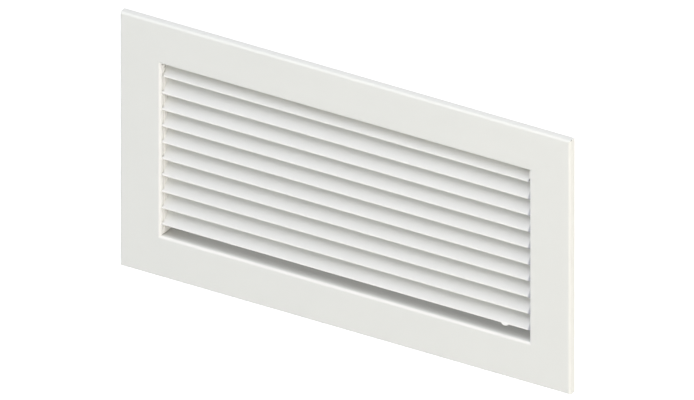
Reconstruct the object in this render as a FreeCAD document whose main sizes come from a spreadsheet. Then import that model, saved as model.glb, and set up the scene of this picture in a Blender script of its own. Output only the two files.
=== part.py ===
import FreeCAD, Part
import Sketcher
import math
import os
import re

# Return air grille: pressed face frame with a top-hinged core of slanted blades.
# X runs along the width, Z up, and the face looks along -Y. Lengths are millimetres.
# The origin is the middle of the window on the wall plane, which is the lip's back edge.

SIZES = {
    # Face frame, pressed from one sheet
    "face_width": 349.25,
    "border": 31.75,
    "face_sheet": 1.0,
    "lip_depth": 6.0,
    "bend_radius": 2.0,
    "flap_depth": 12.7,
    "seam_gap": 0.3,
    # Neck that enters the duct, a step wider than the window on every side
    "neck_step": 6.35,
    "neck_sheet": 0.9,
    "neck_reach": 32.0,
    "neck_tab": 9.0,
    "neck_bend": 1.5,
    # Concealed screw holes in the neck's side walls
    "screw_hole": 4.8,
    "screw_spacing": 80.0,
    "screw_back": 18.0,
    # Foam tape between the lip and the neck's tabs
    "foam_lip_gap": 1.0,
    "foam_tab_gap": 2.4,
    # Blades
    "blade_pitch": 12.7,
    "blade_angle": 45.0,
    "blade_sheet": 0.7,
    "blade_chord": 19.0,
    "top_space": 10.05,
    "top_lift": 0.6,
    "top_blade_gap": 0.6,
    "top_end_gap": 0.5,
    "hem_length": 5.0,
    "nose_bar": 1.6,
    "nose_recess": 1.5,
    "nose_height": 9.0,
    "tenon_start": 5.4,
    "tenon_setback": 5.0,
    "slot_play": 0.05,
    # Pull tab on the bottom blade
    "tab_width": 5.6,
    "tab_reach": 1.4,
    "tab_inset": 19.6,
    # Core side rails
    "rail_sheet": 0.8,
    "rail_nose_gap": 0.3,
    "rail_margin": 2.9,
    "rail_corner": 2.0,
    "ear_height": 7.2,
    "side_gap": 0.2,
    "top_gap": 0.6,
    "bottom_gap": 1.0,
    # Support comb behind the blades
    "comb_sheet": 1.5,
    "comb_grip": 2.7,
    "comb_spine": 2.5,
    "comb_end_gap": 4.0,
    # Hinge pins
    "pin_diameter": 2.4,
    "pin_play": 0.05,
    "pin_drop": 3.2,
    "pin_blade_gap": 0.9,
    "pin_head": 5.0,
    "pin_head_height": 1.0,
    "pin_reach": 0.3,
    # Spring catch on the right flap
    "catch_width": 6.0,
    "catch_sheet": 0.5,
    "catch_rise": 0.8,
    "catch_foot": 12.0,
    "catch_crest": 7.0,
    "catch_play": 0.08,
    "catch_flat": 1.0,
    "catch_lift": 0.8,
    "catch_hole": 3.5,
    "catch_slot_play": 0.8,
    "rivet_diameter": 2.4,
    "rivet_head": 4.2,
    "rivet_head_height": 0.8,
}
BLADE_COUNT = 10

doc = FreeCAD.newDocument("ReturnAirGrille")
sheet = doc.addObject("Spreadsheet::Sheet", "Sizes")
for row, (alias, number) in enumerate(SIZES.items(), start=1):
    sheet.set(f"A{row}", alias)
    sheet.set(f"B{row}", str(number))
    sheet.setAlias(f"B{row}", alias)
doc.recompute()

# Derived sizes, written as text in terms of the sheet's cells
window_width = "(face_width - 2 * border)"
window_height = f"(nose_height + {BLADE_COUNT - 1} * blade_pitch + top_space)"
window_top = f"({window_height} / 2)"
face_height = f"({window_height} + 2 * border)"
neck_width = f"({window_width} + 2 * neck_step)"
neck_height = f"({window_height} + 2 * neck_step)"
core_width = f"({window_width} - 2 * side_gap)"
core_inside = f"({core_width} - 2 * rail_sheet)"


def cells(text):
    """Point every size named in an expression at its cell of the sheet."""
    return re.sub(r"[a-z_]+", lambda word: ("Sizes." if word[0] in SIZES else "") + word[0], text)


def value(text):
    """Number that an expression gives now."""
    found = sheet.evalExpression(cells(text))
    return float(getattr(found, "Value", found))


def bind(thing, prop, text):
    """Tie a property of a feature to the sheet."""
    thing.setExpression(prop, cells(text))


def new_body(label):
    body = doc.addObject("PartDesign::Body", label)
    body.Label = label
    return body


def new_sketch(body, name, role):
    """Sketch on one of the body's own origin planes."""
    plane = next(item for item in body.Origin.OriginFeatures if item.Role == role)
    sketch = body.newObject("Sketcher::SketchObject", name)
    sketch.AttachmentSupport = [(plane, "")]
    sketch.MapMode = "FlatFace"
    return sketch


def fix_point(sketch, side, end, across, up):
    """Hold one end of a side at a place given by two expressions."""
    for kind, axis, text in (("DistanceX", -2, across), ("DistanceY", -1, up)):
        if text == "0":
            sketch.addConstraint(Sketcher.Constraint("PointOnObject", side, end, axis))
            continue
        index = sketch.addConstraint(Sketcher.Constraint(kind, -1, 1, side, end, value(text)))
        bind(sketch, f"Constraints[{index}]", text)


def arc_between(start, end, centre):
    """Shorter arc from start to end, and whether it runs counter-clockwise."""
    first = math.atan2(start.y - centre.y, start.x - centre.x)
    last = math.atan2(end.y - centre.y, end.x - centre.x)
    forward = (last - first) % (2 * math.pi) < math.pi + 1e-9
    full_ring = Part.Circle(centre, FreeCAD.Vector(0, 0, 1), start.distanceToPoint(centre))
    if forward:
        return Part.ArcOfCircle(full_ring, first, last), forward
    return Part.ArcOfCircle(full_ring, last, first), forward


def outline(sketch, corners, arcs=None):
    """Closed outline through corners. arcs gives side number: (centre, radius)."""
    arcs = arcs or {}
    points = [FreeCAD.Vector(value(across), value(up), 0) for across, up in corners]
    sides = []
    for number, start in enumerate(points):
        end = points[(number + 1) % len(points)]
        if number in arcs:
            (across, up), radius = arcs[number]
            arc, forward = arc_between(start, end, FreeCAD.Vector(value(across), value(up), 0))
            side = sketch.addGeometry(arc, False)
            sides.append((side, 1, 2) if forward else (side, 2, 1))
        else:
            sides.append((sketch.addGeometry(Part.LineSegment(start, end), False), 1, 2))
    for number, (side, first, last) in enumerate(sides):
        follower = sides[(number + 1) % len(sides)]
        sketch.addConstraint(Sketcher.Constraint("Coincident", side, last, follower[0], follower[1]))
        fix_point(sketch, side, first, *corners[number])
    for number, (_, radius) in arcs.items():
        index = sketch.addConstraint(Sketcher.Constraint("Radius", sides[number][0], value(radius)))
        bind(sketch, f"Constraints[{index}]", radius)
    return sketch


def circle(sketch, across, up, diameter):
    centre = FreeCAD.Vector(value(across), value(up), 0)
    normal = FreeCAD.Vector(0, 0, 1)
    ring = sketch.addGeometry(Part.Circle(centre, normal, value(diameter) / 2), False)
    fix_point(sketch, ring, 3, across, up)
    index = sketch.addConstraint(Sketcher.Constraint("Diameter", ring, value(diameter)))
    bind(sketch, f"Constraints[{index}]", diameter)
    return sketch


def pad(body, name, sketch, length, midplane=False):
    feature = body.newObject("PartDesign::Pad", name)
    feature.Profile = sketch
    feature.Midplane = midplane
    bind(feature, "Length", length)
    doc.recompute()
    return feature


def pocket(body, name, sketch, length, midplane=False, backwards=False):
    """Cut that has to take material away, or the build stops."""
    before = body.Shape.Volume
    feature = body.newObject("PartDesign::Pocket", name)
    feature.Profile = sketch
    feature.Midplane = midplane
    feature.Reversed = backwards
    bind(feature, "Length", length)
    doc.recompute()
    if body.Shape.Volume > before - 1e-6:
        raise RuntimeError(f"{body.Label}: {name} cuts nothing")
    return feature


def ring_path(body, name, width, height):
    """Rectangle in the wall plane that starts in the middle of its top side."""
    sketch = new_sketch(body, name, "XZ_Plane")
    corners = [("0", f"{height} / 2"), (f"{width} / 2", f"{height} / 2"),
               (f"{width} / 2", f"-{height} / 2"), (f"-{width} / 2", f"-{height} / 2"),
               (f"-{width} / 2", f"{height} / 2")]
    return outline(sketch, corners)


def section_round(body, name, path, section):
    """Bent strip run round a rectangle, with square mitred corners."""
    feature = body.newObject("PartDesign::AdditivePipe", name)
    feature.Profile = section
    feature.Spine = (path, [])
    feature.Transition = "Right corner"
    doc.recompute()
    return feature


def turned(body, name, corners):
    """Turned piece: the outline, in the sketch's plane, spun about the body's X axis."""
    sketch = outline(new_sketch(body, name + "Outline", "XY_Plane"), corners)
    feature = body.newObject("PartDesign::Revolution", name)
    feature.Profile = sketch
    feature.ReferenceAxis = (sketch, ["H_Axis"])
    feature.Angle = 360
    doc.recompute()
    return feature


def place(body, x="0", y="0", z="0"):
    """Move a body, each coordinate tied to the sheet."""
    for letter, text in zip("xyz", (x, y, z)):
        bind(body, f"Placement.Base.{letter}", text)


# A blade's own frame starts at its nose: back along the sheet, and square to it
nose_back = "(nose_recess + blade_sheet * (1 - cos(blade_angle)) - lip_depth)"
nose_drop = "(blade_sheet * sin(blade_angle))"
lowest_nose = f"(nose_height - {window_top} - {nose_drop})"
tenon_end = "(blade_chord - tenon_setback)"


def nose_rise(number):
    """Height of a blade's nose. Number 1 is the top blade."""
    lift = " + top_lift" if number == 1 else ""
    return f"({lowest_nose} + {BLADE_COUNT - number} * blade_pitch{lift})"


# The top blade is narrower: its back edge ends just under the window's flap
top_chord = (
    f"(({window_top} - top_blade_gap - {nose_rise(1)} - blade_sheet * cos(blade_angle))"
    " / sin(blade_angle))"
)

# The hinge pins lie above the top blade's sheet
pin_height = f"({window_top} - pin_drop)"
pin_clear = "(blade_sheet + pin_diameter / 2 + pin_blade_gap)"
pin_back = (
    f"({nose_back} + (({pin_height} - {nose_rise(1)}) * cos(blade_angle) - {pin_clear})"
    " / sin(blade_angle))"
)

# Face frame: outer lip, flat border and the window's flap in one bent section
face_back = "(face_sheet - lip_depth)"
bend_line = "(bend_radius - lip_depth)"
flap_back = "(flap_depth - lip_depth)"
inner_bend = "(bend_radius - face_sheet)"
lip_outside = f"({face_height} / 2)"

face_frame = new_body("face_frame")
frame_path = ring_path(face_frame, "WindowPath", window_width, window_height)
frame_section = new_sketch(face_frame, "SheetSection", "YZ_Plane")
outline(
    frame_section,
    [
        ("0", lip_outside),
        (bend_line, lip_outside),
        ("-lip_depth", f"{lip_outside} - bend_radius"),
        ("-lip_depth", f"{window_top} + bend_radius"),
        (bend_line, window_top),
        (flap_back, window_top),
        (flap_back, f"{window_top} + face_sheet"),
        (bend_line, f"{window_top} + face_sheet"),
        (face_back, f"{window_top} + bend_radius"),
        (face_back, f"{lip_outside} - bend_radius"),
        (bend_line, f"{lip_outside} - face_sheet"),
        ("0", f"{lip_outside} - face_sheet"),
    ],
    {
        1: ((bend_line, f"{lip_outside} - bend_radius"), "bend_radius"),
        3: ((bend_line, f"{window_top} + bend_radius"), "bend_radius"),
        7: ((bend_line, f"{window_top} + bend_radius"), inner_bend),
        9: ((bend_line, f"{lip_outside} - bend_radius"), inner_bend),
    },
)
section_round(face_frame, "BentSheet", frame_path, frame_section)

CORNERS = ((1, 1), (1, -1), (-1, 1), (-1, -1))


def corner_seams(body, name, width, height, reach):
    """Diagonal slits that run inwards by reach from just outside a rectangle's four corners."""
    sketch = new_sketch(body, name, "XZ_Plane")
    half = "(seam_gap / sqrt(2))"
    for across_sign, up_sign in CORNERS:
        corner_x = f"{across_sign} * ({width} / 2"
        corner_z = f"{up_sign} * ({height} / 2"
        outline(
            sketch,
            [
                (f"{corner_x} + seam_gap)", f"{corner_z} + seam_gap - {half})"),
                (f"{corner_x} + seam_gap - {half})", f"{corner_z} + seam_gap)"),
                (f"{corner_x} - {reach} - {half})", f"{corner_z} - {reach})"),
                (f"{corner_x} - {reach})", f"{corner_z} - {reach} - {half})"),
            ],
        )
    return sketch


# Open seams where the folded lips meet, and where the window's flaps meet behind their bends
lip_seams = corner_seams(face_frame, "LipSeams", "face_width", face_height, "(2 * bend_radius)")
pocket(face_frame, "LipSeamCuts", lip_seams, "lip_depth - bend_radius / 2", backwards=True)

flap_width = f"({window_width} + 2 * face_sheet)"
flap_height = f"({window_height} + 2 * face_sheet)"
flap_seams = corner_seams(face_frame, "FlapSeams", flap_width, flap_height, "(2 * face_sheet)")
pocket(face_frame, "FlapSeamFronts", flap_seams, "lip_depth - bend_radius", backwards=True)
pocket(face_frame, "FlapSeamBacks", flap_seams, f"{flap_back} + seam_gap")

# Holes for the hinge pins in both side flaps
flap_hole = circle(new_sketch(face_frame, "PinHoles", "YZ_Plane"), pin_back, pin_height, "pin_diameter")
pocket(face_frame, "PinHoleCuts", flap_hole, f"{window_width} + 4 * face_sheet", midplane=True)

# Slot through the right flap for the catch, and the hole of its rivet
catch_back = f"(({bend_line} + {flap_back}) / 2)"
catch_crest_height = f"({nose_rise(BLADE_COUNT - 1)} + catch_rise)"
flap_outside = f"({window_width} / 2 + face_sheet)"
rivet_height = f"({catch_crest_height} + catch_crest + catch_foot / 2)"

catch_side = "(catch_width / 2 + catch_slot_play)"
catch_slot = new_sketch(face_frame, "CatchSlot", "YZ_Plane")
outline(
    catch_slot,
    [
        (f"{catch_back} - {catch_side}", f"{catch_crest_height} - catch_crest"),
        (f"{catch_back} + {catch_side}", f"{catch_crest_height} - catch_crest"),
        (f"{catch_back} + {catch_side}", f"{catch_crest_height} + catch_crest"),
        (f"{catch_back} - {catch_side}", f"{catch_crest_height} + catch_crest"),
    ],
)
circle(catch_slot, catch_back, rivet_height, "rivet_diameter")
pocket(face_frame, "CatchSlotCut", catch_slot, f"{window_width} / 2 + 2 * face_sheet", backwards=True)

# Neck: a strip folded round the duct opening, with tabs turned out behind the face
duct_neck = new_body("duct_neck")
neck_path = ring_path(duct_neck, "NeckPath", neck_width, neck_height)
neck_outside = f"({neck_height} / 2)"
neck_inside = f"({neck_height} / 2 - neck_sheet)"
neck_bend_line = f"({face_back} + neck_bend)"
neck_centre = (neck_bend_line, f"{neck_inside} + neck_bend")
tab_back = f"({face_back} + neck_sheet)"
neck_section = new_sketch(duct_neck, "NeckSection", "YZ_Plane")
outline(
    neck_section,
    [
        ("neck_reach", neck_inside),
        ("neck_reach", neck_outside),
        (neck_bend_line, neck_outside),
        (tab_back, f"{neck_inside} + neck_bend"),
        (tab_back, f"{neck_outside} + neck_tab"),
        (face_back, f"{neck_outside} + neck_tab"),
        (face_back, f"{neck_inside} + neck_bend"),
        (neck_bend_line, neck_inside),
    ],
    {2: (neck_centre, "neck_bend - neck_sheet"), 6: (neck_centre, "neck_bend")},
)
section_round(duct_neck, "BentStrip", neck_path, neck_section)

# Corner notches let the tabs turn out, and the strip's two ends meet in the bottom wall
notch_sketch = new_sketch(duct_neck, "TabNotches", "XZ_Plane")
for across_sign, up_sign in CORNERS:
    notch_x = f"{across_sign} * ({neck_width} / 2"
    notch_z = f"{up_sign} * ({neck_height} / 2"
    outline(
        notch_sketch,
        [
            (f"{notch_x} + neck_bend)", f"{notch_z} + neck_bend)"),
            (f"{notch_x} + 2 * neck_tab)", f"{notch_z} + neck_bend)"),
            (f"{notch_x} + 2 * neck_tab)", f"{notch_z} + 2 * neck_tab)"),
            (f"{notch_x} + neck_bend)", f"{notch_z} + 2 * neck_tab)"),
        ],
    )
pocket(duct_neck, "TabNotchCuts", notch_sketch, "lip_depth", backwards=True)

joint_sketch = new_sketch(duct_neck, "StripJoint", "XY_Plane")
outline(
    joint_sketch,
    [
        ("-seam_gap / 2", "-lip_depth"),
        ("seam_gap / 2", "-lip_depth"),
        ("seam_gap / 2", "neck_reach + seam_gap"),
        ("-seam_gap / 2", "neck_reach + seam_gap"),
    ],
)
pocket(duct_neck, "StripJointCut", joint_sketch, f"{neck_height} / 2 + 2 * neck_tab")

screw_sketch = new_sketch(duct_neck, "ScrewHoles", "YZ_Plane")
for sign in (1, -1):
    circle(screw_sketch, "screw_back", f"{sign} * screw_spacing / 2", "screw_hole")
pocket(duct_neck, "ScrewHoleCuts", screw_sketch, f"{neck_width} + 4 * neck_sheet", midplane=True)

# Foam tape behind the border, four strips with butt joints
foam_out_x = "(face_width / 2 - face_sheet - foam_lip_gap)"
foam_out_z = f"({face_height} / 2 - face_sheet - foam_lip_gap)"
foam_in_x = f"({neck_width} / 2 + neck_tab + foam_tab_gap)"
foam_in_z = f"({neck_height} / 2 + neck_tab + foam_tab_gap)"


def foam_strip(label, left, right, low, high):
    strip = new_body(label)
    sketch = new_sketch(strip, label + "_outline", "XZ_Plane")
    outline(sketch, [(left, low), (right, low), (right, high), (left, high)])
    pad(strip, label + "_pad", sketch, "lip_depth - face_sheet")
    return strip


foam_strips = [
    foam_strip("foam_top", f"-{foam_out_x}", foam_out_x, foam_in_z, foam_out_z),
    foam_strip("foam_bottom", f"-{foam_out_x}", foam_out_x, f"-{foam_out_z}", f"-{foam_in_z}"),
    foam_strip("foam_left", f"-{foam_out_x}", f"-{foam_in_x}", f"-{foam_in_z}", foam_in_z),
    foam_strip("foam_right", foam_in_x, foam_out_x, f"-{foam_in_z}", foam_in_z),
]


def on_blade(number, along, across):
    """Place in the side view of a point given along and across a blade."""
    back = f"{nose_back} + ({along}) * cos(blade_angle) - ({across}) * sin(blade_angle)"
    rise = f"{nose_rise(number)} + ({along}) * sin(blade_angle) + ({across}) * cos(blade_angle)"
    return back, rise


def blade_slot(sketch, number, start, end):
    """Slanted slot that a blade's sheet passes through."""
    corners = ((start, "-slot_play"), (end, "-slot_play"),
               (end, "blade_sheet + slot_play"), (start, "blade_sheet + slot_play"))
    outline(sketch, [on_blade(number, along, across) for along, across in corners])


def blade_chord(number):
    return top_chord if number == 1 else "blade_chord"


def blade_span(number):
    """Width of a blade's sheet between the rails. The top blade stands clear of the pins' ends."""
    return f"({core_inside} - 2 * top_end_gap)" if number == 1 else core_inside


# Core side rails: a plate with an ear for the hinge pin and a slot for each blade
nose_fold_back = f"({nose_back} + nose_bar * cos(blade_angle) + {nose_drop})"
rail_front_line = f"({nose_fold_back} + rail_nose_gap)"
rail_back_line = f"({nose_back} + {tenon_end} * cos(blade_angle) + rail_margin)"
rail_top = f"({window_top} - top_gap)"
rail_bottom = f"(bottom_gap - {window_top})"
ear_radius = "(pin_drop - top_gap)"
ear_front_line = f"({pin_back} - {ear_radius})"
ear_low = f"({window_top} - ear_height)"


def core_rail(label, place_x, with_catch_hole):
    rail = new_body(label)
    sketch = new_sketch(rail, label + "_outline", "YZ_Plane")
    corner_y = f"{rail_back_line} - rail_corner"
    corners = [
        (rail_front_line, rail_bottom),
        (rail_front_line, ear_low),
        (ear_front_line, ear_low),
        (ear_front_line, pin_height),
        (pin_back, rail_top),
        (corner_y, rail_top),
        (rail_back_line, f"{rail_top} - rail_corner"),
        (rail_back_line, f"{rail_bottom} + rail_corner"),
        (corner_y, rail_bottom),
    ]
    arcs = {
        3: ((pin_back, pin_height), ear_radius),
        5: ((corner_y, f"{rail_top} - rail_corner"), "rail_corner"),
        7: ((corner_y, f"{rail_bottom} + rail_corner"), "rail_corner"),
    }
    pad(rail, label + "_plate", outline(sketch, corners, arcs), "rail_sheet")
    holes = new_sketch(rail, label + "_slots", "YZ_Plane")
    for number in range(1, BLADE_COUNT + 1):
        slot_end = f"{blade_chord(number)} - tenon_setback + slot_play"
        blade_slot(holes, number, "tenon_start - slot_play", slot_end)
    circle(holes, pin_back, pin_height, "pin_diameter + 2 * pin_play")
    if with_catch_hole:
        circle(holes, catch_back, catch_crest_height, "catch_hole")
    pocket(rail, label + "_cuts", holes, "rail_sheet", backwards=True)
    place(rail, x=place_x)
    return rail


core_rails = [
    core_rail("core_rail_left", f"-{core_width} / 2", False),
    core_rail("core_rail_right", f"{core_inside} / 2", True),
]


# Blades: sheet with a hem folded under its front edge, which makes the round nose
def louvre_blade(number):
    label = f"louvre_blade_{number:02d}"
    blade = new_body(label)
    nose = new_sketch(blade, label + "_nose", "YZ_Plane")
    outline(
        nose,
        [
            ("blade_sheet", "blade_sheet"),
            ("0", "0"),
            ("blade_sheet", "-blade_sheet"),
            ("nose_bar", "-blade_sheet"),
            ("nose_bar", "blade_sheet"),
        ],
        {0: (("blade_sheet", "0"), "blade_sheet"), 1: (("blade_sheet", "0"), "blade_sheet")},
    )
    span = blade_span(number)
    pad(blade, label + "_nose_fold", nose, span if number == 1 else core_width, midplane=True)

    hem = new_sketch(blade, label + "_hem", "YZ_Plane")
    outline(
        hem,
        [
            ("nose_bar", "-blade_sheet"),
            ("hem_length", "-blade_sheet"),
            ("hem_length", "0"),
            ("nose_bar", "0"),
        ],
    )
    pad(blade, label + "_hem_fold", hem, span, midplane=True)

    chord = blade_chord(number)
    tenon_back = f"{chord} - tenon_setback"
    right_side = [
        (f"{span} / 2", "nose_bar"),
        (f"{span} / 2", "tenon_start"),
        (f"{core_width} / 2", "tenon_start"),
        (f"{core_width} / 2", tenon_back),
        (f"{span} / 2", tenon_back),
        (f"{span} / 2", chord),
    ]
    left_side = [("-" + across, along) for across, along in reversed(right_side)]
    web = outline(new_sketch(blade, label + "_web", "XY_Plane"), right_side + left_side)
    pad(blade, label + "_sheet", web, "blade_sheet")

    tilt = FreeCAD.Rotation(FreeCAD.Vector(1, 0, 0), value("blade_angle"))
    blade.Placement = FreeCAD.Placement(FreeCAD.Vector(), tilt)
    bind(blade, "Placement.Rotation.Angle", "blade_angle")
    place(blade, y=nose_back, z=nose_rise(number))
    return blade


blades = [louvre_blade(number) for number in range(1, BLADE_COUNT + 1)]

# Pull tab: a round lug of the bottom blade's sheet, left flat in front of its hem
tab_middle = f"({window_width} / 2 - tab_inset)"
tab_radius = "((tab_width * tab_width / 4 + tab_reach * tab_reach) / (2 * tab_reach))"
bottom_blade = blades[-1]
tab = new_sketch(bottom_blade, "PullTab", "XY_Plane")
outline(
    tab,
    [
        (f"{tab_middle} - tab_width / 2", "nose_bar"),
        (f"{tab_middle} - tab_width / 2", "0"),
        (f"{tab_middle} + tab_width / 2", "0"),
        (f"{tab_middle} + tab_width / 2", "nose_bar"),
    ],
    {1: ((tab_middle, f"{tab_radius} - tab_reach"), tab_radius)},
)
pad(bottom_blade, "PullTabSheet", tab, "blade_sheet")

# Support comb that grips the blades' back edges in the middle
blade_back_line = f"({nose_back} + blade_chord * cos(blade_angle))"
comb_front_line = f"({blade_back_line} - comb_grip)"
comb_back_line = f"({blade_back_line} + comb_spine)"
comb_top = f"({window_top} - comb_end_gap)"
support_comb = new_body("support_comb")
comb_outline = new_sketch(support_comb, "CombOutline", "YZ_Plane")
outline(
    comb_outline,
    [
        (comb_front_line, f"-{comb_top}"),
        (comb_back_line, f"-{comb_top}"),
        (comb_back_line, comb_top),
        (comb_front_line, comb_top),
    ],
)
pad(support_comb, "CombPlate", comb_outline, "comb_sheet", midplane=True)
comb_slots = new_sketch(support_comb, "CombSlots", "YZ_Plane")
for number in range(2, BLADE_COUNT + 1):
    blade_slot(comb_slots, number, "hem_length", "blade_chord + slot_play")
pocket(support_comb, "CombSlotCuts", comb_slots, "2 * comb_sheet", midplane=True)


# Hinge pins: riveted in the side flaps, and a running fit in the rails' ears
def hinge_pin(label, turn):
    pin = new_body(label)
    pin_end = f"{core_inside} / 2 - pin_reach"
    turned(
        pin,
        label + "_turned",
        [
            (pin_end, "0"),
            (pin_end, "pin_diameter / 2 - pin_reach"),
            (f"{pin_end} + pin_reach", "pin_diameter / 2"),
            (flap_outside, "pin_diameter / 2"),
            (flap_outside, "pin_head / 2"),
            (f"{flap_outside} + pin_head_height", "pin_head / 2"),
            (f"{flap_outside} + pin_head_height", "0"),
        ],
    )
    pin.Placement = FreeCAD.Placement(FreeCAD.Vector(), FreeCAD.Rotation(FreeCAD.Vector(0, 0, 1), turn))
    place(pin, y=pin_back, z=pin_height)
    return pin


hinge_pins = [hinge_pin("hinge_pin_right", 0), hinge_pin("hinge_pin_left", 180)]

# Catch: a bent leaf behind the right flap, its crest pressed in by the core's rail
crest_x = f"({core_width} / 2 + catch_play)"
catch_spring = new_body("catch_spring")
leaf = new_sketch(catch_spring, "LeafOutline", "XZ_Plane")
inner_edge = [
    (flap_outside, "catch_crest + catch_foot"),
    (flap_outside, "catch_crest"),
    (crest_x, "catch_flat"),
    (crest_x, "-catch_flat"),
    (f"{flap_outside} + catch_lift", "-catch_crest"),
]
outer_edge = [(f"{across} + catch_sheet", up) for across, up in reversed(inner_edge)]
outline(leaf, inner_edge + outer_edge)
pad(catch_spring, "Leaf", leaf, "catch_width", midplane=True)
leaf_hole = new_sketch(catch_spring, "LeafHole", "YZ_Plane")
circle(leaf_hole, "0", "catch_crest + catch_foot / 2", "rivet_diameter")
pocket(catch_spring, "LeafHoleCut", leaf_hole, f"{flap_outside} + 2 * catch_sheet", backwards=True)
place(catch_spring, y=catch_back, z=catch_crest_height)

rivet_shoulder = f"({flap_outside} + catch_sheet)"
catch_rivet = new_body("catch_rivet")
turned(
    catch_rivet,
    "RivetTurned",
    [
        (f"{window_width} / 2", "0"),
        (f"{window_width} / 2", "rivet_diameter / 2"),
        (rivet_shoulder, "rivet_diameter / 2"),
        (rivet_shoulder, "rivet_head / 2"),
        (f"{rivet_shoulder} + rivet_head_height", "rivet_head / 4"),
        (f"{rivet_shoulder} + rivet_head_height", "0"),
    ],
)
place(catch_rivet, y=catch_back, z=rivet_height)

# Every feature is checked before any file is written
doc.recompute()
for item in doc.Objects:
    if "Invalid" in item.State or "Error" in item.State:
        raise RuntimeError(f"{item.Label} failed: {item.State}")

pieces = [item for item in doc.Objects if item.TypeId == "PartDesign::Body"]
for piece in pieces:
    shape = piece.Shape
    if shape.isNull() or not shape.isValid() or len(shape.Solids) != 1:
        raise RuntimeError(f"{piece.Label} is not one sound solid")

os.makedirs("parts", exist_ok=True)
for piece in pieces:
    piece.Shape.exportStep(f"parts/{piece.Label}.step")
    print(f"{piece.Label}: {piece.Shape.Volume:.1f} mm3")
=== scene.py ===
import bpy
import math
from mathutils import Matrix, Vector


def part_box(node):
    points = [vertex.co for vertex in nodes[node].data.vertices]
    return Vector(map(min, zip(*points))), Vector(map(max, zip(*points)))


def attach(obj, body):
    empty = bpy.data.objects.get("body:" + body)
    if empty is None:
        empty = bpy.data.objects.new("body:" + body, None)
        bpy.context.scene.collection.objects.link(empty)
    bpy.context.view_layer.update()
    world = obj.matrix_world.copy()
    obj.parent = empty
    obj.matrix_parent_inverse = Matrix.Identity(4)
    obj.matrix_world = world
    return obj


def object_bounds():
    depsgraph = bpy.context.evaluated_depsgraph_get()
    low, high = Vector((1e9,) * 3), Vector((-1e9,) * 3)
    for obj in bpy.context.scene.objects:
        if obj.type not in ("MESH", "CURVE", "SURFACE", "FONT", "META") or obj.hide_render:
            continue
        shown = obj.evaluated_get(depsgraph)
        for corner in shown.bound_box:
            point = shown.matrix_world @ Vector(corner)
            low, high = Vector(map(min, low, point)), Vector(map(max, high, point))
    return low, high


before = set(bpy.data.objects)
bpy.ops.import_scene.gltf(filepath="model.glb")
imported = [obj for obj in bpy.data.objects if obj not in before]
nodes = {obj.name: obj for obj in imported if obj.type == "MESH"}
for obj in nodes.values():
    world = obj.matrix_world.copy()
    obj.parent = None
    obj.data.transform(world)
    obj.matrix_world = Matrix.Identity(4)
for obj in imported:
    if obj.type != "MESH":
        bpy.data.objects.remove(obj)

cad_low, cad_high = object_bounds()


# Face frame: one sheet of steel, pressed with a lip round the outside and a flap round the window.
# Its baked white powder coat has a satin skin with a faint orange peel. A painted highlight lightens
# the flap's two sides and the bend beside and below the window; painted shade darkens the flap above
# and below.
ENAMEL_IOR = 1.5
PEEL_STRENGTH = 0.25
FACE_WHITE = (0.816, 0.836, 0.800, 1)
FACE_SHADE = (0.796, 0.817, 0.784, 1)
# Painted highlight: a lighter white for the bends and flap sides round the window and for the
# blades' noses.
PAINTED_HIGHLIGHT_WHITE = (0.895, 0.900, 0.875, 1)
# Painted shade: a darker tone for the flap above and below the window, inside the recess.
FLAP_PAINTED_SHADE = (0.645, 0.648, 0.618, 1)
BORDER = 0.03175
WINDOW_HALF_WIDTH = cad_high.x - BORDER
WINDOW_HALF_HEIGHT = cad_high.z - BORDER

# Where the coat starts to change and where the change ends: a distance outside the window's
# opening, or a depth, which is below 0 in front of the wall plane.
BEND_OUTSIDE = (0.0022, 0.0008)
BEND_DEPTH = (-0.0041, -0.0048)
FLAP_EDGE = (-0.0004, 0)
FLAP_SIDE_EDGE = (-0.0004, -0.0001)
FLAP_OUTSIDE = (0.0030, 0.0018)
FLAP_WIDTH_END = (0.006, 0.003)
WINDOW_TOP = (0.0004, -0.0004)
BEHIND_FACE_DEPTH = (-0.0056, -0.0048)
LOWER_FLAP_DEPTH = (-0.0047, -0.0005)
UPPER_FLAP_DEPTH = (-0.0058, -0.0035)


def add_node(tree, kind, **settings):
    """New shader node. Each setting is one of its properties or the value of one of its inputs."""
    made = tree.nodes.new(kind)
    for name, value in settings.items():
        if hasattr(made, name):
            setattr(made, name, value)
        else:
            made.inputs[name.replace("_", " ")].default_value = value
    return made


def new_group(name, inputs, outputs):
    """Empty node group with named sockets, and its two end nodes."""
    group = bpy.data.node_groups.new(name, "ShaderNodeTree")
    for label, kind, value in inputs:
        socket = group.interface.new_socket(label, in_out="INPUT", socket_type=kind)
        if value is not None:
            socket.default_value = value
    for label, kind in outputs:
        group.interface.new_socket(label, in_out="OUTPUT", socket_type=kind)
    return group, group.nodes.new("NodeGroupInput"), group.nodes.new("NodeGroupOutput")


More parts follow.
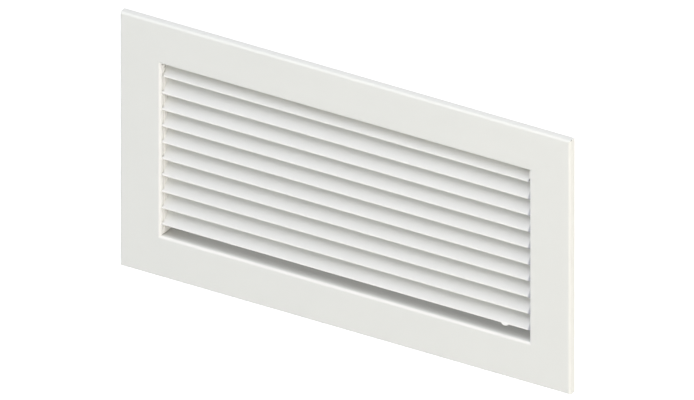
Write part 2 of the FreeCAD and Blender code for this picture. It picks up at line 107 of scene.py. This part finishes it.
def make_powder_coat():
    """Skin of a baked powder coat: cloudy tone, orange peel and a gloss that varies with it."""
    group, start, end = new_group(
        "powder_coat",
        [
            ("Vector", "NodeSocketVector", None),
            ("White", "NodeSocketColor", FACE_WHITE),
            ("Shade", "NodeSocketColor", FACE_SHADE),
            ("Peel Scale", "NodeSocketFloat", 650),
            ("Gloss Low", "NodeSocketFloat", 0.34),
            ("Gloss High", "NodeSocketFloat", 0.44),
        ],
        [
            ("Color", "NodeSocketColor"),
            ("Roughness", "NodeSocketFloat"),
            ("Height", "NodeSocketFloat"),
        ],
    )
    link = group.links.new
    cloud = add_node(group, "ShaderNodeTexNoise", Scale=14, Detail=3)
    peel = add_node(group, "ShaderNodeTexNoise", Detail=2, Roughness=0.4)
    tone = add_node(group, "ShaderNodeMix", data_type="RGBA")
    gloss = add_node(group, "ShaderNodeMapRange", From_Min=0.3, From_Max=0.7)
    link(start.outputs["Vector"], cloud.inputs["Vector"])
    link(start.outputs["Vector"], peel.inputs["Vector"])
    link(start.outputs["Peel Scale"], peel.inputs["Scale"])
    link(cloud.outputs["Fac"], tone.inputs["Factor"])
    link(start.outputs["White"], tone.inputs["A"])
    link(start.outputs["Shade"], tone.inputs["B"])
    link(peel.outputs["Fac"], gloss.inputs["Value"])
    link(start.outputs["Gloss Low"], gloss.inputs["To Min"])
    link(start.outputs["Gloss High"], gloss.inputs["To Max"])
    link(tone.outputs["Result"], end.inputs["Color"])
    link(gloss.outputs["Result"], end.inputs["Roughness"])
    link(peel.outputs["Fac"], end.inputs["Height"])
    return group


powder_coat = make_powder_coat()


def new_material(name):
    """Material with only a Principled shader, and that shader."""
    material = bpy.data.materials.new(name)
    material.use_nodes = True
    return material, material.node_tree, material.node_tree.nodes["Principled BSDF"]


def add_ramp(tree, value, change):
    """Mask that goes smoothly from 0 at the change's first value to 1 at its second."""
    ramp = add_node(tree, "ShaderNodeMapRange", interpolation_type="SMOOTHSTEP")
    ramp.inputs["From Min"].default_value = change[0]
    ramp.inputs["From Max"].default_value = change[1]
    tree.links.new(value, ramp.inputs["Value"])
    return ramp.outputs["Result"]


def add_math(tree, operation, first, second):
    """Math node. Each of its two values is a socket or a number."""
    made = add_node(tree, "ShaderNodeMath", operation=operation)
    for number, source in enumerate((first, second)):
        if isinstance(source, (int, float)):
            made.inputs[number].default_value = source
        else:
            tree.links.new(source, made.inputs[number])
    return made.outputs["Value"]


def overlap(tree, *masks):
    """Mask of the surface where all the masks given meet."""
    shared = masks[0]
    for mask in masks[1:]:
        shared = add_math(tree, "MULTIPLY", shared, mask)
    return shared


def tint_where(tree, shader, mask, color):
    """Lay a colour over the shader's base colour where a mask is above 0."""
    base = shader.inputs["Base Color"].links[0].from_socket
    layer = add_node(tree, "ShaderNodeMix", data_type="RGBA")
    layer.inputs["B"].default_value = color
    tree.links.new(mask, layer.inputs["Factor"])
    tree.links.new(base, layer.inputs["A"])
    tree.links.new(layer.outputs["Result"], shader.inputs["Base Color"])


def add_bump(tree, height, shader, strength, distance):
    """Raise the surface by a height socket."""
    bump = add_node(tree, "ShaderNodeBump", Strength=strength, Distance=distance)
    tree.links.new(height, bump.inputs["Height"])
    tree.links.new(bump.outputs["Normal"], shader.inputs["Normal"])


def enamel(name, peel_height, **coat_values):
    """White enamel with a powder coat's skin: its material, tree, shader and X, Y and Z outputs."""
    material, tree, shader = new_material(name)
    shader.inputs["IOR"].default_value = ENAMEL_IOR
    place = add_node(tree, "ShaderNodeTexCoord")
    skin = add_node(tree, "ShaderNodeGroup", node_tree=powder_coat)
    for label, value in coat_values.items():
        skin.inputs[label.replace("_", " ")].default_value = value
    tree.links.new(place.outputs["Object"], skin.inputs["Vector"])
    tree.links.new(skin.outputs["Color"], shader.inputs["Base Color"])
    tree.links.new(skin.outputs["Roughness"], shader.inputs["Roughness"])
    add_bump(tree, skin.outputs["Height"], shader, PEEL_STRENGTH, peel_height)
    axes = add_node(tree, "ShaderNodeSeparateXYZ")
    tree.links.new(place.outputs["Object"], axes.inputs["Vector"])
    return material, tree, shader, axes.outputs


def dress(node_name, material):
    """Give a CAD node its finished material."""
    for slot in nodes[node_name].material_slots:
        slot.material = material


def make_face_enamel():
    """Powder coat of the face frame, with painted highlights on the bends and flap sides and painted
    shade on the flap above and below.
    """
    material, tree, shader, axes = enamel("face_enamel", peel_height=0.00002)
    across = add_math(tree, "ABSOLUTE", axes["X"], 0)
    depth = axes["Y"]
    beside = add_math(tree, "SUBTRACT", across, WINDOW_HALF_WIDTH)
    above = add_math(tree, "SUBTRACT", axes["Z"], WINDOW_HALF_HEIGHT)
    below = add_math(tree, "SUBTRACT", -WINDOW_HALF_HEIGHT, axes["Z"])
    beside_or_below = add_math(tree, "MAXIMUM", beside, below)
    outside = add_math(tree, "MAXIMUM", beside_or_below, above)

    # Painted highlight on the bend beside and below the window, which faces up or sideways; the top
    # bend faces down and gets none.
    bend_depth = add_ramp(tree, depth, BEND_DEPTH)
    on_bend = add_ramp(tree, beside_or_below, BEND_OUTSIDE)
    not_above = add_ramp(tree, above, WINDOW_TOP)
    bend_highlight = overlap(tree, bend_depth, on_bend, not_above)

    # Painted highlight on the left and right side of the flap, behind the border's face.
    on_flap = add_ramp(tree, outside, FLAP_OUTSIDE)
    at_side = add_ramp(tree, beside, FLAP_SIDE_EDGE)
    behind_face = add_ramp(tree, depth, BEHIND_FACE_DEPTH)
    side_flap = overlap(tree, on_flap, at_side, behind_face)
    tint_where(tree, shader, add_math(tree, "MAXIMUM", bend_highlight, side_flap), PAINTED_HIGHLIGHT_WHITE)

    # Painted shade on the lower and upper side of the flap. On the upper one it starts at the bend.
    for distance, depth_change in ((below, LOWER_FLAP_DEPTH), (above, UPPER_FLAP_DEPTH)):
        past_edge = add_ramp(tree, distance, FLAP_EDGE)
        near_window = add_ramp(tree, distance, FLAP_OUTSIDE)
        within_width = add_ramp(tree, beside, FLAP_WIDTH_END)
        flap_depth = add_ramp(tree, depth, depth_change)
        flap_shade = overlap(tree, past_edge, near_window, within_width, flap_depth)
        tint_where(tree, shader, flap_shade, FLAP_PAINTED_SHADE)
    return material


dress("face_frame", make_face_enamel())


# Duct neck: a folded strip, welded behind the border and coated in the same batch. Less powder
# reaches it, so it is duller and a little greyer.
neck_enamel, *_ = enamel(
    "neck_enamel",
    peel_height=0.00003,
    White=(0.690, 0.700, 0.672, 1),
    Shade=(0.610, 0.620, 0.600, 1),
    Peel_Scale=480,
    Gloss_Low=0.42,
    Gloss_High=0.56,
)
dress("duct_neck", neck_enamel)


# Spot welds: round dents that the electrodes leave on the neck's tabs, where they join the
# border. Each has a low pressed-up rim, and the thin enamel over the dent lets the burnt steel
# show through.
BURNT_DENT = (0.36, 0.35, 0.34, 1)
NECK_SHEET = 0.0009
WELD_SIDES = 32
WELD_RADIUS = 0.0022
WELD_RING = 0.0005
WELD_RISE = 0.00016
WELD_DENT = 0.00012
WELD_CROWN = 0.00004
WELD_ROUNDING = 0.00006
TAB_MIDDLE = 0.0036
WELD_STEP = 0.048
LONG_TAB_WELDS = 6
SHORT_TAB_WELDS = 3

neck_low, neck_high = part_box("duct_neck")
tab_back = neck_low.y + NECK_SHEET
weld_enamel, weld_tree, weld_shader, weld_axes = enamel(
    "weld_enamel",
    peel_height=0.00003,
    White=(0.640, 0.650, 0.625, 1),
    Shade=(0.560, 0.570, 0.550, 1),
    Peel_Scale=480,
    Gloss_Low=0.42,
    Gloss_High=0.56,
)
weld_top = tab_back + WELD_RISE
dent_mask = add_ramp(weld_tree, weld_axes["Y"], (weld_top, weld_top - WELD_DENT))
tint_where(weld_tree, weld_shader, dent_mask, BURNT_DENT)


def model_weld():
    """One spot weld about the Y axis: a disc with a rim, a dent and a slightly raised middle."""
    bpy.ops.object.select_all(action="DESELECT")
    bpy.ops.mesh.primitive_cylinder_add(
        vertices=WELD_SIDES,
        radius=WELD_RADIUS,
        depth=2 * WELD_RISE,
        location=(0, tab_back, 0),
        rotation=(math.radians(-90), 0, 0),
    )
    piece = bpy.context.object
    bpy.ops.object.transform_apply(location=True, rotation=True, scale=True)
    bpy.ops.object.mode_set(mode="EDIT")
    bpy.ops.mesh.select_all(action="DESELECT")
    bpy.ops.object.mode_set(mode="OBJECT")
    for face in piece.data.polygons:
        face.select = face.normal.y > 0.9
    bpy.ops.object.mode_set(mode="EDIT")
    bpy.ops.mesh.inset(thickness=WELD_RING, use_even_offset=True)
    bpy.ops.transform.translate(value=(0, -WELD_DENT, 0))
    bpy.ops.mesh.inset(thickness=WELD_RING, use_even_offset=True)
    bpy.ops.mesh.inset(thickness=WELD_RING, use_even_offset=True)
    bpy.ops.transform.translate(value=(0, WELD_CROWN, 0))
    bpy.ops.object.mode_set(mode="OBJECT")
    bevel = piece.modifiers.new("rim", "BEVEL")
    bevel.width = WELD_ROUNDING
    bevel.segments = 3
    bevel.limit_method = "ANGLE"
    bevel.angle_limit = math.radians(12)
    bpy.ops.object.modifier_apply(modifier=bevel.name)
    bpy.ops.object.shade_smooth_by_angle(angle=math.radians(40))
    piece.data.materials.clear()
    piece.data.materials.append(weld_enamel)
    return piece


def spread(count):
    """Evenly spaced places of the welds along a tab, from its middle."""
    return [(number - (count - 1) / 2) * WELD_STEP for number in range(count)]


weld_places = []
for end in (-1, 1):
    weld_places += [(x, end * (neck_high.z - TAB_MIDDLE)) for x in spread(LONG_TAB_WELDS)]
    weld_places += [(end * (neck_high.x - TAB_MIDDLE), z) for z in spread(SHORT_TAB_WELDS)]
first_weld = model_weld()
for number, (x, z) in enumerate(weld_places, 1):
    weld = bpy.data.objects.new(f"spot_weld_{number:02d}", first_weld.data.copy())
    weld.data.transform(Matrix.Translation((x, 0, z)))
    bpy.context.scene.collection.objects.link(weld)
    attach(weld, "frame")
bpy.data.objects.remove(first_weld)


# Foam tape: closed-cell foam with an adhesive back, cut to four lengths and stuck behind the
# border, where the wall squeezes it.
FOAM_LIGHT = (0.175, 0.176, 0.182, 1)
FOAM_DARK = (0.095, 0.096, 0.102, 1)


def make_foam():
    """Dark closed-cell foam, with small cells and a cloudy tone."""
    material, tree, shader = new_material("foam_tape")
    link = tree.links.new
    shader.inputs["Roughness"].default_value = 0.88
    place = add_node(tree, "ShaderNodeTexCoord")
    cells = add_node(tree, "ShaderNodeTexVoronoi", Scale=1400)
    mottle = add_node(tree, "ShaderNodeTexNoise", Scale=160, Detail=4)
    tone = add_node(tree, "ShaderNodeMix", data_type="RGBA")
    tone.inputs["A"].default_value = FOAM_DARK
    tone.inputs["B"].default_value = FOAM_LIGHT
    link(place.outputs["Object"], cells.inputs["Vector"])
    link(place.outputs["Object"], mottle.inputs["Vector"])
    link(mottle.outputs["Fac"], tone.inputs["Factor"])
    link(tone.outputs["Result"], shader.inputs["Base Color"])
    add_bump(tree, cells.outputs["Distance"], shader, strength=0.7, distance=0.0003)
    return material


foam_tape = make_foam()
for side in ("top", "bottom", "left", "right"):
    dress(f"foam_{side}", foam_tape)


# Louvre blades: ten strips with their front edge hemmed over into a round nose. They are coated
# before assembly, so their skin is smoother than the frame's. The nose has a painted highlight, the
# right end painted shade, and the top blade painted shade at its back, under the frame's top edge.
END_PAINTED_SHADE = (0.42, 0.43, 0.46, 1)
TOP_BACK_PAINTED_SHADE = (0.715, 0.728, 0.705, 1)
NOSE_HIGHLIGHT_DEPTH = 0.0006
END_FADE_START = 0.0026
END_FADE_END = 0.0008
TOP_FADE_START = 0.0015
TOP_FADE_END = 0.0055

blade_enamel, blade_tree, blade_shader, blade_axes = enamel(
    "blade_enamel",
    peel_height=0.000015,
    White=(0.797, 0.812, 0.794, 1),
    Shade=(0.782, 0.797, 0.781, 1),
    Peel_Scale=820,
    Gloss_Low=0.32,
    Gloss_High=0.40,
)
blade_low, blade_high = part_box("louvre_blade_02")
top_low, top_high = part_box("louvre_blade_01")
# Painted highlight: a lighter white along the front of each blade's nose.
nose_fade = (blade_low.y + NOSE_HIGHLIGHT_DEPTH, blade_low.y)
nose_mask = add_ramp(blade_tree, blade_axes["Y"], nose_fade)
tint_where(blade_tree, blade_shader, nose_mask, PAINTED_HIGHLIGHT_WHITE)
# Painted shade: the top blade darkens towards its back, under the frame's top edge.
top_fade = (top_low.z + TOP_FADE_START, top_high.z - TOP_FADE_END)
top_mask = add_ramp(blade_tree, blade_axes["Z"], top_fade)
tint_where(blade_tree, blade_shader, top_mask, TOP_BACK_PAINTED_SHADE)
# Painted shade: the blades darken towards their right end, beside the window's edge.
end_fade = (blade_high.x - END_FADE_START, blade_high.x - END_FADE_END)
end_mask = add_ramp(blade_tree, blade_axes["X"], end_fade)
tint_where(blade_tree, blade_shader, end_mask, END_PAINTED_SHADE)
for node_name in sorted(nodes):
    if node_name.startswith("louvre_blade"):
        dress(node_name, blade_enamel)


# Core rails and support comb: punched steel strips that hold the blades by their tenons and back
# edges. They are coated apart from the blades. Their white is warmer and lighter, as painted light
# that lifts the shade beside the window's edge.
core_enamel, *_ = enamel(
    "core_enamel",
    peel_height=0.00002,
    # Painted light: a lighter, warmer white than the blades'.
    White=(0.915, 0.910, 0.875, 1),
    Shade=(0.900, 0.895, 0.860, 1),
    Peel_Scale=700,
)
for node_name in ("core_rail_left", "core_rail_right", "support_comb"):
    dress(node_name, core_enamel)


# Hinge pins and catch rivet: turned steel with bright zinc plating. The catch is a leaf of
# hardened spring steel, rolled along its length and left bare.
def make_rolled_steel():
    """Fine lines left by turning or rolling: streaked tone, gloss and height."""
    group, start, end = new_group(
        "rolled_steel",
        [
            ("Vector", "NodeSocketVector", None),
            ("Bright", "NodeSocketColor", (0.62, 0.62, 0.6, 1)),
            ("Dull", "NodeSocketColor", (0.5, 0.5, 0.49, 1)),
            ("Stretch", "NodeSocketVector", (1, 1, 1)),
        ],
        [
            ("Color", "NodeSocketColor"),
            ("Roughness", "NodeSocketFloat"),
            ("Height", "NodeSocketFloat"),
        ],
    )
    link = group.links.new
    turn = add_node(group, "ShaderNodeMapping")
    lines = add_node(group, "ShaderNodeTexNoise", Scale=900, Detail=4)
    tone = add_node(group, "ShaderNodeMix", data_type="RGBA")
    gloss = add_node(group, "ShaderNodeMapRange", To_Min=0.26, To_Max=0.46)
    link(start.outputs["Vector"], turn.inputs["Vector"])
    link(start.outputs["Stretch"], turn.inputs["Scale"])
    link(turn.outputs["Vector"], lines.inputs["Vector"])
    link(lines.outputs["Fac"], tone.inputs["Factor"])
    link(start.outputs["Dull"], tone.inputs["A"])
    link(start.outputs["Bright"], tone.inputs["B"])
    link(lines.outputs["Fac"], gloss.inputs["Value"])
    link(tone.outputs["Result"], end.inputs["Color"])
    link(gloss.outputs["Result"], end.inputs["Roughness"])
    link(lines.outputs["Fac"], end.inputs["Height"])
    return group


rolled_steel = make_rolled_steel()


def bare_steel(name, **steel_values):
    """Metal without paint, whose lines come from the rolled steel group."""
    material, tree, shader = new_material(name)
    shader.inputs["Metallic"].default_value = 1
    place = add_node(tree, "ShaderNodeTexCoord")
    surface = add_node(tree, "ShaderNodeGroup", node_tree=rolled_steel)
    for label, value in steel_values.items():
        surface.inputs[label].default_value = value
    tree.links.new(place.outputs["Object"], surface.inputs["Vector"])
    tree.links.new(surface.outputs["Color"], shader.inputs["Base Color"])
    tree.links.new(surface.outputs["Roughness"], shader.inputs["Roughness"])
    add_bump(tree, surface.outputs["Height"], shader, strength=0.3, distance=0.00003)
    return material


zinc_plate = bare_steel("zinc_plate", Stretch=(4, 1, 1))
for node_name in ("hinge_pin_left", "hinge_pin_right", "catch_rivet"):
    dress(node_name, zinc_plate)

spring_steel = bare_steel(
    "spring_steel",
    Bright=(0.44, 0.45, 0.47, 1),
    Dull=(0.33, 0.34, 0.37, 1),
    Stretch=(1, 5, 0.3),
)
dress("catch_spring", spring_steel)


# Floor: a plain white sweep well below the grille, which hangs on its wall mount. For the camera
# and for reflections it shows white, and the grille's soft shadow darkens it.
FLOOR_DROP = 0.32
FLOOR_SIZE = 14.0
FLOOR_GLOW = 0.6
FLOOR_PAPER = (0.86, 0.86, 0.86, 1)


def add_ray_mask(tree):
    """1 for rays from the camera, a reflection or through glass, and 0 for light that bounces."""
    rays = add_node(tree, "ShaderNodeLightPath").outputs
    direct = add_math(tree, "MAXIMUM", rays["Is Camera Ray"], rays["Is Glossy Ray"])
    return add_math(tree, "MAXIMUM", direct, rays["Is Transmission Ray"])


def make_floor_material():
    """White paper that keeps soft shadows and glows for the camera and for reflections."""
    material = bpy.data.materials.new("studio_floor")
    material.use_nodes = True
    tree = material.node_tree
    tree.nodes.clear()
    paper = add_node(tree, "ShaderNodeBsdfDiffuse", Color=FLOOR_PAPER)
    glow = add_node(tree, "ShaderNodeEmission", Color=(1, 1, 1, 1))
    both = add_node(tree, "ShaderNodeAddShader")
    end = add_node(tree, "ShaderNodeOutputMaterial")
    strength = add_math(tree, "MULTIPLY", add_ray_mask(tree), FLOOR_GLOW)
    tree.links.new(strength, glow.inputs["Strength"])
    tree.links.new(paper.outputs["BSDF"], both.inputs[0])
    tree.links.new(glow.outputs["Emission"], both.inputs[1])
    tree.links.new(both.outputs["Shader"], end.inputs["Surface"])
    return material


bpy.ops.object.select_all(action="DESELECT")
bpy.ops.mesh.primitive_plane_add(size=FLOOR_SIZE, location=(0, 0, cad_low.z - FLOOR_DROP))
floor = bpy.context.object
floor.name = "studio_floor"
floor.data.materials.append(make_floor_material())


# Studio light: broad soft boxes round the grille in a dim white room. The highest is the
# strongest, those on the right are warm and the one on the left is cool.
ROOM_LIGHT = 0.08
LAMP_DISTANCE = 2.6

world = bpy.data.worlds.new("studio_room")
bpy.context.scene.world = world
world.use_nodes = True
room = world.node_tree.nodes["Background"]
room.inputs["Color"].default_value = (1, 1, 1, 1)
room_strength = add_node(world.node_tree, "ShaderNodeMapRange", To_Min=ROOM_LIGHT, To_Max=1)
world.node_tree.links.new(add_ray_mask(world.node_tree), room_strength.inputs["Value"])
world.node_tree.links.new(room_strength.outputs["Result"], room.inputs["Strength"])


def direction(azimuth, elevation):
    """Unit vector from the grille towards a lamp or the camera. 0, 0 is straight in front."""
    turn = math.radians(azimuth)
    rise = math.radians(elevation)
    return Vector((
        math.sin(turn) * math.cos(rise),
        -math.cos(turn) * math.cos(rise),
        math.sin(rise),
    ))


def add_lamp(name, azimuth, elevation, size, power, color):
    """Square lamp that faces the middle of the grille."""
    data = bpy.data.lights.new(name, "AREA")
    data.size = size
    data.energy = power
    data.color = color
    lamp = bpy.data.objects.new(name, data)
    towards = direction(azimuth, elevation)
    lamp.location = towards * LAMP_DISTANCE
    lamp.rotation_euler = towards.to_track_quat("Z", "Y").to_euler()
    bpy.context.scene.collection.objects.link(lamp)


add_lamp("high_lamp", 0, 75, 3.0, 61, (0.956, 0.940, 1))
add_lamp("front_lamp", 0, 12, 1.6, 16.5, (1, 0.945, 0.85))
add_lamp("right_front_lamp", 60, 24, 2.0, 16.3, (1, 0.975, 0.90))
add_lamp("right_lamp", 90, 14, 1.8, 27.5, (1, 0.910, 0.815))
add_lamp("left_lamp", -70, 20, 2.0, 11, (0.62, 0.78, 1))
add_lamp("rear_lamp", 180, 35, 2.0, 3, (1, 1, 1))


# Camera: looks from 30 degrees to the right and 30 degrees above, with no perspective, as the
# photograph does. The two offsets bring the grille to its place in the picture.
VIEW_AZIMUTH = 30
VIEW_ELEVATION = 30
PICTURE_WIDTH_PX = 694
PIXELS_PER_METRE = 1490.3
OFFSET_RIGHT_PX = -2.3
OFFSET_UP_PX = -0.2
CAMERA_DISTANCE = 2.0

camera_data = bpy.data.cameras.new("photo_camera")
camera_data.type = "ORTHO"
camera_data.ortho_scale = PICTURE_WIDTH_PX / PIXELS_PER_METRE
camera = bpy.data.objects.new("photo_camera", camera_data)
bpy.context.scene.collection.objects.link(camera)
back = direction(VIEW_AZIMUTH, VIEW_ELEVATION)
right = direction(VIEW_AZIMUTH + 90, 0)
up = back.cross(right)
offset = (right * OFFSET_RIGHT_PX + up * OFFSET_UP_PX) / PIXELS_PER_METRE
camera.location = offset + back * CAMERA_DISTANCE
camera.rotation_euler = back.to_track_quat("Z", "Y").to_euler()
bpy.context.scene.camera = camera
bpy.context.scene.view_settings.view_transform = "Standard"
